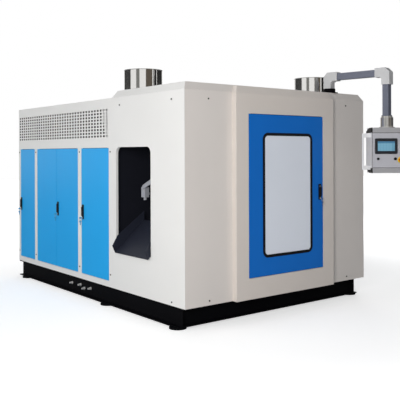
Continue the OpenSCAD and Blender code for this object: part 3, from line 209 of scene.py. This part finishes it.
def studio_screen(name, from_angle, to_angle, shade, low=0.0, high=11.0):
    board = new_piece(name)
    bm = bmesh.new()
    start = Matrix.Rotation(math.radians(from_angle), 3, "Z") @ Vector((screen_distance, 0.0, 0.0))
    foot = bm.verts.new(start + Vector((0.0, 0.0, low)))
    top = bm.verts.new(start + Vector((0.0, 0.0, high)))
    edge = bm.edges.new((foot, top))
    sweep = math.radians(to_angle - from_angle)
    bmesh.ops.spin(bm, geom=[foot, top, edge], cent=(0, 0, 0), axis=(0, 0, 1), angle=sweep, steps=16)
    bm.to_mesh(board.data)
    bm.free()
    paint = bpy.data.materials.new(name)
    paint.use_nodes = True
    tree = paint.node_tree
    glow = tree.nodes.new("ShaderNodeEmission")
    set_socket(glow, "Color", (*shade, 1.0))
    tree.links.new(glow.outputs[0], tree.nodes["Material Output"].inputs["Surface"])
    board.data.materials.append(paint)
    board.visible_camera = False
    board.visible_diffuse = False
    board.visible_transmission = False
    board.visible_shadow = False


studio_screen("far left screen", 84.0, 158.0, (0.06, 0.06, 0.06), low=3.0)
studio_screen("left screen", 194.0, 213.0, (0.24, 0.24, 0.23))
studio_screen("front screen", 248.0, 288.0, (0.13, 0.11, 0.09))
studio_screen("right screen", 294.0, 317.0, (0.02, 0.02, 0.02))
studio_screen("far right screen", 321.0, 385.0, (0.03, 0.03, 0.03))

# Housing: 3 mm steel sheets folded at their edges and powder-coated warm white. Baked powder leaves a
# faint orange-peel surface and a satin gloss that drifts a little over a large sheet. The inner faces
# round the clamp are painted dull black, as painted shade for the dark inside behind the window.
sheet_fold = 0.001


def soft_noise(tree, place, scale, detail):
    cloud = tree.nodes.new("ShaderNodeTexNoise")
    set_socket(cloud, "Scale", scale)
    set_socket(cloud, "Detail", detail)
    tree.links.new(place, cloud.inputs["Vector"])
    return cloud.outputs["Fac"]


def relief(tree, shader, height, strength, depth):
    bump = tree.nodes.new("ShaderNodeBump")
    set_socket(bump, "Strength", strength)
    set_socket(bump, "Distance", depth)
    tree.links.new(height, bump.inputs["Height"])
    tree.links.new(bump.outputs["Normal"], shader.inputs["Normal"])


def powder_coat(name, colour, gloss=0.38, peel=0.35, peel_scale=260.0, drift=0.03, sheen=0.4):
    material = bpy.data.materials.new(name)
    material.use_nodes = True
    tree = material.node_tree
    shader = tree.nodes["Principled BSDF"]
    set_socket(shader, "Specular IOR Level", sheen)
    place = tree.nodes.new("ShaderNodeTexCoord").outputs["Object"]
    cloud = soft_noise(tree, place, scale=1.7, detail=3.0)
    darker = [channel * (1.0 - drift) for channel in colour]
    lighter = [min(1.0, channel * (1.0 + drift)) for channel in colour]
    tint = tree.nodes.new("ShaderNodeMix")
    tint.data_type = "RGBA"
    set_socket(tint, "A", (*darker, 1.0))
    set_socket(tint, "B", (*lighter, 1.0))
    tree.links.new(cloud, tint.inputs["Factor"])
    tree.links.new(tint.outputs["Result"], shader.inputs["Base Color"])
    tree.links.new(mapped(tree, cloud, gloss - 0.05, gloss + 0.06), shader.inputs["Roughness"])
    orange_peel = soft_noise(tree, place, scale=peel_scale, detail=1.0)
    relief(tree, shader, orange_peel, strength=peel, depth=0.0004)
    return material


def repaint(material, *names):
    for name in names:
        for slot in nodes[name].material_slots:
            slot.material = material


def folded(name, material, radius, segments=2, linings=()):
    """A copy of a sheet or casting with its edges eased to a small radius, shown in its place.

    A lining is a second material with a function that says which faces it covers."""
    mesh = nodes[name].data.copy()
    bm = bmesh.new()
    bm.from_mesh(mesh)
    bmesh.ops.remove_doubles(bm, verts=bm.verts, dist=0.00001)
    bmesh.ops.dissolve_limit(bm, angle_limit=math.radians(0.5), verts=bm.verts, edges=bm.edges)
    bm.normal_update()
    for face in bm.faces:
        face.smooth = True
        face.material_index = 0
        for index, (lining, covers) in enumerate(linings, start=1):
            if covers(face.calc_center_median(), face.normal):
                face.material_index = index
    mesh.materials.clear()
    mesh.materials.append(material)
    for lining, covers in linings:
        mesh.materials.append(lining)
    bm.to_mesh(mesh)
    bm.free()
    piece = bpy.data.objects.new(name + "_finished", mesh)
    bpy.context.scene.collection.objects.link(piece)
    easing = piece.modifiers.new("eased folds", "BEVEL")
    easing.width = radius
    easing.segments = segments
    easing.limit_method = "ANGLE"
    easing.angle_limit = math.radians(25)
    easing.use_clamp_overlap = True
    flats = piece.modifiers.new("flat faces", "WEIGHTED_NORMAL")
    flats.keep_sharp = True
    flats.weight = 100
    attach(piece, nodes[name]["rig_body"])
    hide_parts(name)


cladding_white = powder_coat("warm white powder coat", (0.78, 0.775, 0.76))
# The front panels and the door surround take darker, warmer copies of the same white: painted shade on the
# front of the housing.
shaded_front_white = powder_coat("warm white front, painted shade", (0.74, 0.695, 0.66))
shaded_surround_white = powder_coat("warm white surround, painted shade", (0.74, 0.68, 0.63))
black_inside_shade = powder_coat("black painted inside shade", (0.012, 0.013, 0.019),
                           gloss=0.75, peel=1.0, peel_scale=90.0, drift=0.2, sheen=0.1)


def inside_left(centre, normal):
    return normal.x > 0.9 and centre.x < -1.1


def inside_right(centre, normal):
    return normal.x < -0.9


def inside_front(centre, normal):
    return normal.y > 0.9


def inside_top(centre, normal):
    return normal.z < -0.3


def over_front(centre, normal):
    return normal.y < -0.5


def facing_clamp(centre, normal):
    return normal.y < -0.9


# Inner faces seen through the openings take the black painted shade.
folded("flank_panel_left", cladding_white, sheet_fold, linings=[(black_inside_shade, inside_left)])
folded("flank_panel_right", cladding_white, sheet_fold, linings=[(black_inside_shade, inside_right)])
# The roof's faces over the front take the front's painted shade too.
folded("enclosure_roof", cladding_white, sheet_fold,
       linings=[(shaded_front_white, over_front), (black_inside_shade, inside_top)])
folded("front_panels", shaded_front_white, sheet_fold, linings=[(black_inside_shade, inside_front)])
folded("bulkhead", cladding_white, sheet_fold, linings=[(black_inside_shade, facing_clamp)])
folded("door_surround", shaded_surround_white, sheet_fold)
folded("cabinet_face", cladding_white, sheet_fold)
# The cabinet's inner faces are dark grey-brown: painted shade for its dark inside, seen through the grille.
inside_shade_brown = powder_coat("grey-brown painted inside shade", (0.10, 0.088, 0.08), gloss=0.7, drift=0.2, sheen=0.2)


def inside_cabinet(centre, normal):
    return normal.x < -0.9 or normal.z < -0.9 or normal.y < -0.9


folded("cabinet_panels", cladding_white, sheet_fold, linings=[(inside_shade_brown, inside_cabinet)])
repaint(cladding_white, "grille_panel")

# Door leaves: blue folded trays with their corners eased, hung flush in the pale housing.
# The flank leaves are a brighter blue than the operator's door.
leaf_fold = 0.0006
flank_blue = powder_coat("bright blue powder coat", (0.014, 0.380, 0.83), gloss=0.30, drift=0.05, sheen=0.26)
front_blue = powder_coat("blue door powder coat", (0.0085, 0.160, 0.60), gloss=0.33, drift=0.05, sheen=0.16)
for leaf in ("cabinet_door_front", "double_door_front", "double_door_rear", "cabinet_door_rear"):
    folded(leaf, flank_blue, leaf_fold)
folded("front_door", front_blue, leaf_fold)

# Base: hot-rolled H-beams welded into a frame and brushed with black machine enamel,
# on steel levelling feet with their studs and nuts. The tube frame on it has the same enamel.
base_black = powder_coat("black machine enamel", (0.004, 0.004, 0.005),
                         gloss=0.36, peel=0.5, peel_scale=70.0, drift=0.3, sheen=0.03)
folded("base_frame", base_black, 0.003)
folded("levelling_feet", base_black, 0.001)
folded("body_frame", base_black, 0.0015)


# Bare metals: tie bars, blow cylinder and pin of machined steel, zinc-plated door pivots, nickel-plated
# water couplings and screws of black oxide steel. Their fine grain is stretched into lines where a
# piece is rolled or extruded.
def bare_metal(name, colour, roughness, lines=(1.0, 1.0, 1.0), line_scale=300.0, line_depth=0.15, metal=1.0):
    material = bpy.data.materials.new(name)
    material.use_nodes = True
    tree = material.node_tree
    shader = tree.nodes["Principled BSDF"]
    set_socket(shader, "Base Color", (*colour, 1.0))
    set_socket(shader, "Metallic", metal)
    place = tree.nodes.new("ShaderNodeTexCoord")
    stretch = tree.nodes.new("ShaderNodeMapping")
    set_socket(stretch, "Scale", lines)
    tree.links.new(place.outputs["Object"], stretch.inputs["Vector"])
    grain = soft_noise(tree, stretch.outputs["Vector"], scale=line_scale, detail=4.0)
    gloss_drift = mapped(tree, grain, max(0.02, roughness - 0.06), roughness + 0.08)
    tree.links.new(gloss_drift, shader.inputs["Roughness"])
    relief(tree, shader, grain, strength=line_depth, depth=0.0003)
    return material


machined_steel = bare_metal("machined steel", (0.60, 0.60, 0.61), 0.28)
zinc_steel = bare_metal("zinc-plated steel", (0.66, 0.67, 0.66), 0.34)
black_oxide = bare_metal("black oxide steel", (0.045, 0.043, 0.042), 0.45)
bright_nickel = bare_metal("bright nickel plate", (0.88, 0.88, 0.87), 0.25, metal=0.6)
repaint(machined_steel, "tie_bars", "blow_cylinder", "blow_pin", "front_lock_spindle")
repaint(zinc_steel, "door_pivots")
folded("water_couplings", bright_nickel, 0.0008)
repaint(black_oxide, "panel_screws")

# Exhaust stacks: rolled from mirror-polished stainless sheet, with one upright weld seam
# and a rolled bead round the mouth.
stack_radius = 0.180
stack_axes = ((-0.90875, -0.375589), (0.89925, -0.838589))
stack_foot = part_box("exhaust_stacks")[0][2]
stack_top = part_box("exhaust_stacks")[1][2]
bead_radius = 0.004
bead_inset = 0.001
bead_drop = 0.003
seam_radius = 0.0022
seam_start = 0.001
seam_height = stack_top - stack_foot - 0.006
polished_steel = bare_metal("polished stainless", (0.74, 0.73, 0.71), 0.07,
                            lines=(1.0, 1.0, 0.02), line_scale=60.0, line_depth=0.05)
repaint(polished_steel, "exhaust_stacks")
beads = new_piece("stack_beads")
bead_bm = bmesh.new()
for stack_x, stack_y in stack_axes:
    ring = bmesh.ops.create_circle(bead_bm, cap_ends=False, radius=bead_radius, segments=10)["verts"]
    ring_place = (stack_x + stack_radius - bead_inset, stack_y, stack_top - bead_drop)
    bmesh.ops.rotate(bead_bm, verts=ring, cent=(0, 0, 0), matrix=upright)
    bmesh.ops.translate(bead_bm, verts=ring, vec=ring_place)
    ring_edges = list({edge for vert in ring for edge in vert.link_edges})
    bmesh.ops.spin(bead_bm, geom=ring + ring_edges, cent=(stack_x, stack_y, 0), axis=(0, 0, 1),
                   angle=math.radians(360), steps=120, use_merge=True)
    seam = bmesh.ops.create_circle(bead_bm, cap_ends=True, radius=seam_radius, segments=8)["verts"]
    seam_place = (stack_x, stack_y - stack_radius, stack_foot + seam_start)
    bmesh.ops.translate(bead_bm, verts=seam, vec=seam_place)
    seam_end = list({face for vert in seam for face in vert.link_faces})
    drawn = bmesh.ops.extrude_face_region(bead_bm, geom=seam_end)["geom"]
    drawn_verts = [item for item in drawn if isinstance(item, bmesh.types.BMVert)]
    bmesh.ops.translate(bead_bm, verts=drawn_verts, vec=(0, 0, seam_height))
bmesh.ops.remove_doubles(bead_bm, verts=bead_bm.verts, dist=0.00001)
bmesh.ops.recalc_face_normals(bead_bm, faces=bead_bm.faces)
for face in bead_bm.faces:
    face.smooth = True
bead_bm.to_mesh(beads.data)
bead_bm.free()
beads.data.materials.append(polished_steel)
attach(beads, nodes["exhaust_stacks"]["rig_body"])

# Chute: two cheeks and a sloping floor folded from steel and painted dark blue-grey.
# It reaches a little way out through the discharge window.
chute_paint = powder_coat("dark blue-grey enamel", (0.020, 0.023, 0.036), gloss=0.4, drift=0.12, sheen=0.3)
folded("discharge_chute", chute_paint, 0.0006)

# Machine inside: bed, platens and hydraulic unit, cast or welded and painted grey, the extruder in
# dark enamel, and the mould halves and die head, milled and left bright.
machine_grey = powder_coat("machine grey enamel", (0.10, 0.11, 0.125), gloss=0.42, drift=0.1, sheen=0.3)
for part in ("machine_bed", "platen_left", "platen_right", "hydraulic_unit"):
    folded(part, machine_grey, 0.002)
heater_dark = powder_coat("dark extruder enamel", (0.05, 0.055, 0.065), gloss=0.4, drift=0.1)
repaint(heater_dark, "extruder")
mould_aluminium = bare_metal("mould aluminium", (0.70, 0.70, 0.69), 0.3)
repaint(mould_aluminium, "mould_left", "mould_right", "die_head")

# Control arm: light grey castings at both elbows, dark square tubes between them and down to the panel,
# and a black cast foot on the roof.
casting_grey = powder_coat("light grey casting paint", (0.58, 0.58, 0.585),
                           gloss=0.42, peel=0.6, peel_scale=120.0)
tube_paint = powder_coat("dark arm tube paint", (0.145, 0.157, 0.205), gloss=0.38)
folded("arm_castings", casting_grey, 0.007, segments=4)
folded("arm_tubes", tube_paint, 0.004, segments=3)
folded("arm_base", base_black, 0.002)

# Valve unit: a small pneumatic unit on a strut behind the discharge window,
# in a cast housing painted grey.
unit_grey = powder_coat("grey valve housing", (0.30, 0.31, 0.34), gloss=0.4)
folded("pneumatic_unit", unit_grey, 0.003)

# Control panel: a case of silver-anodised extrusions round a grey front plate, with its side faces painted
# brighter as painted light. It hangs on the drop tube by a turned collar and has a handle bar at each side.
anodised = bare_metal("silver anodised aluminium", (0.56, 0.56, 0.585), 0.42,
                      lines=(1.0, 1.0, 0.04), line_scale=500.0, line_depth=0.06, metal=0.5)
bright_handles_and_lit_sides = bare_metal("bright handles and painted side light", (0.92, 0.92, 0.93), 0.5, line_depth=0.05, metal=0.25)
collar_metal = bare_metal("turned collar", (0.62, 0.61, 0.58), 0.32)
plate_grey = powder_coat("grey front plate", (0.50, 0.50, 0.54), gloss=0.35)
panel_turn = Matrix.Rotation(math.radians(-38.13), 3, "Z")
panel_side = panel_turn @ Vector((1.0, 0.0, 0.0))


def side_profile(centre, normal):
    return abs(normal.dot(panel_side)) > 0.9


# The case's side faces take the brighter finish as painted light; the handles are bright metal.
folded("panel_case", anodised, 0.003, segments=3, linings=[(bright_handles_and_lit_sides, side_profile)])
folded("panel_collar", collar_metal, 0.002)
folded("panel_handles", bright_handles_and_lit_sides, 0.002, segments=3)
folded("panel_front_plate", plate_grey, 0.0005)


# Moulded plastics: the locks' levers, the panel's corner caps, the selector and the start button,
# moulded in black with a fine spark-eroded grain.
def moulded(name, colour, gloss, sheen=0.4):
    return powder_coat(name, colour, gloss=gloss, peel=0.25, peel_scale=900.0, drift=0.05, sheen=sheen)


black_plastic = moulded("black plastic", (0.012, 0.012, 0.014), 0.42, sheen=0.2)
for part in ("front_lock_lever", "cabinet_lock_handle_front", "double_lock_handle",
             "cabinet_lock_handle_rear", "panel_corner_caps", "mode_selector", "start_button"):
    folded(part, black_plastic, 0.0008)

# Lock bodies: black escutcheons on the leaves, each with a nickel-plated cylinder, a key in it
# and a spare key on the ring.
key_steel = bare_metal("nickel-plated key steel", (0.78, 0.775, 0.76), 0.22)
plate_depth = 0.0055
front_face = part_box("front_lock_body")[1][1]
side_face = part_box("double_lock_body")[1][0]


def front_keys(centre, normal):
    return centre.y < front_face - plate_depth


def side_keys(centre, normal):
    return centre.x < side_face - plate_depth


folded("front_lock_body", black_plastic, 0.0006, linings=[(key_steel, front_keys)])
for part in ("cabinet_lock_body_front", "double_lock_body", "cabinet_lock_body_rear"):
    folded(part, black_plastic, 0.0006, linings=[(key_steel, side_keys)])

# Controls on the plate: mushroom stop on its yellow base, lamp buttons and the touch screen in its
# black bezel.
yellow_plastic = moulded("yellow plastic", (0.86, 0.60, 0.02), 0.3)
red_plastic = moulded("red plastic", (0.62, 0.015, 0.012), 0.25)
lamp_plastic = moulded("pale lamp plastic", (0.60, 0.66, 0.60), 0.25)
folded("stop_housing", yellow_plastic, 0.0015)
folded("stop_button", red_plastic, 0.003, segments=4)
folded("lamp_button_lower", lamp_plastic, 0.001)
folded("lamp_button_upper", lamp_plastic, 0.001)
screen_bezel = moulded("black screen bezel", (0.020, 0.022, 0.028), 0.3)
folded("panel_screen", screen_bezel, 0.001)

# Screen display: a page of blank tiles under a darker header, which glows a little.
# It lies on the floor of the bezel's shallow recess.
page_width = 0.158
page_height = 0.089
header_foot = 0.028
tiles_top = 0.02
tiles_right = 0.05
tile_border = 0.0022
page_forward = 0.0026
screen_low, screen_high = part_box("panel_screen")
screen_centre = (Vector(screen_low) + Vector(screen_high)) / 2


def screen_glass(name, colour):
    material = powder_coat(name, colour, gloss=0.16, peel=0.05, peel_scale=400.0, drift=0.04)
    shader = material.node_tree.nodes["Principled BSDF"]
    set_socket(shader, "Emission Color", (*colour, 1.0))
    set_socket(shader, "Emission Strength", 0.25)
    return material


def stand_on_panel(bm, forward, centre):
    """Stands a flat form up to face as the panel does, and moves it forward of the centre given."""
    bmesh.ops.rotate(bm, verts=bm.verts, cent=(0, 0, 0), matrix=upright)
    bmesh.ops.translate(bm, verts=bm.verts, vec=(0.0, -forward, 0.0))
    bmesh.ops.rotate(bm, verts=bm.verts, cent=(0, 0, 0), matrix=panel_turn)
    bmesh.ops.translate(bm, verts=bm.verts, vec=centre)


display = new_piece("screen_display")
display_bm = bmesh.new()
bmesh.ops.create_grid(display_bm, x_segments=6, y_segments=5, size=0.5)
bmesh.ops.scale(display_bm, verts=display_bm.verts, vec=(page_width, page_height, 1.0))
tiles = []
for face in display_bm.faces:
    face_centre = face.calc_center_median()
    face.material_index = 1 if face_centre.y > header_foot else 0
    if face_centre.y < tiles_top and face_centre.x < tiles_right:
        tiles.append(face)
bmesh.ops.inset_individual(display_bm, faces=tiles, thickness=tile_border, depth=0.0)
for face in tiles:
    face.material_index = 2
stand_on_panel(display_bm, page_forward, screen_centre)
display_bm.to_mesh(display.data)
display_bm.free()
display.data.materials.append(screen_glass("screen page blue", (0.13, 0.30, 0.42)))
display.data.materials.append(screen_glass("screen header blue", (0.07, 0.19, 0.31)))
display.data.materials.append(screen_glass("screen tile blue", (0.17, 0.36, 0.48)))
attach(display, nodes["panel_screen"]["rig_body"])

# Plate gasket: a thin black rubber cord in a rectangular ring, pressed into the gap between the
# control panel's front plate and its frame.
gasket_width = 0.328
gasket_height = 0.326
cord_width = 0.0035
cord_depth = 0.0012
cord_rounding = 0.0004
gasket_forward = 0.0018
plate_low, plate_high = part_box("panel_front_plate")
plate_centre = (Vector(plate_low) + Vector(plate_high)) / 2
rubber = moulded("black sealing rubber", (0.008, 0.008, 0.009), 0.6, sheen=0.2)
gasket = new_piece("plate_gasket")
gasket_bm = bmesh.new()
bmesh.ops.create_grid(gasket_bm, x_segments=1, y_segments=1, size=0.5)
bmesh.ops.scale(gasket_bm, verts=gasket_bm.verts, vec=(gasket_width, gasket_height, 1.0))
middle = list(gasket_bm.faces)
bmesh.ops.inset_region(gasket_bm, faces=middle, thickness=cord_width, use_boundary=True, use_even_offset=True)
bmesh.ops.delete(gasket_bm, geom=middle, context="FACES")
bmesh.ops.solidify(gasket_bm, geom=gasket_bm.faces, thickness=cord_depth)
bmesh.ops.recalc_face_normals(gasket_bm, faces=gasket_bm.faces)
bmesh.ops.bevel(gasket_bm, geom=gasket_bm.edges, offset=cord_rounding, segments=2, affect="EDGES",
                profile=0.5, material=-1)
stand_on_panel(gasket_bm, gasket_forward, plate_centre)
gasket_bm.to_mesh(gasket.data)
gasket_bm.free()
gasket.data.materials.append(rubber)
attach(gasket, nodes["panel_front_plate"]["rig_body"])

# Window: a frosted pane of polycarbonate in the operator's door, held by a black rubber profile
# round the door's cut-out.
folded("door_seal", rubber, 0.0015)
frosted = powder_coat("frosted window", (0.83, 0.875, 0.96), gloss=0.24, peel=0.1, drift=0.04)
repaint(frosted, "door_window")
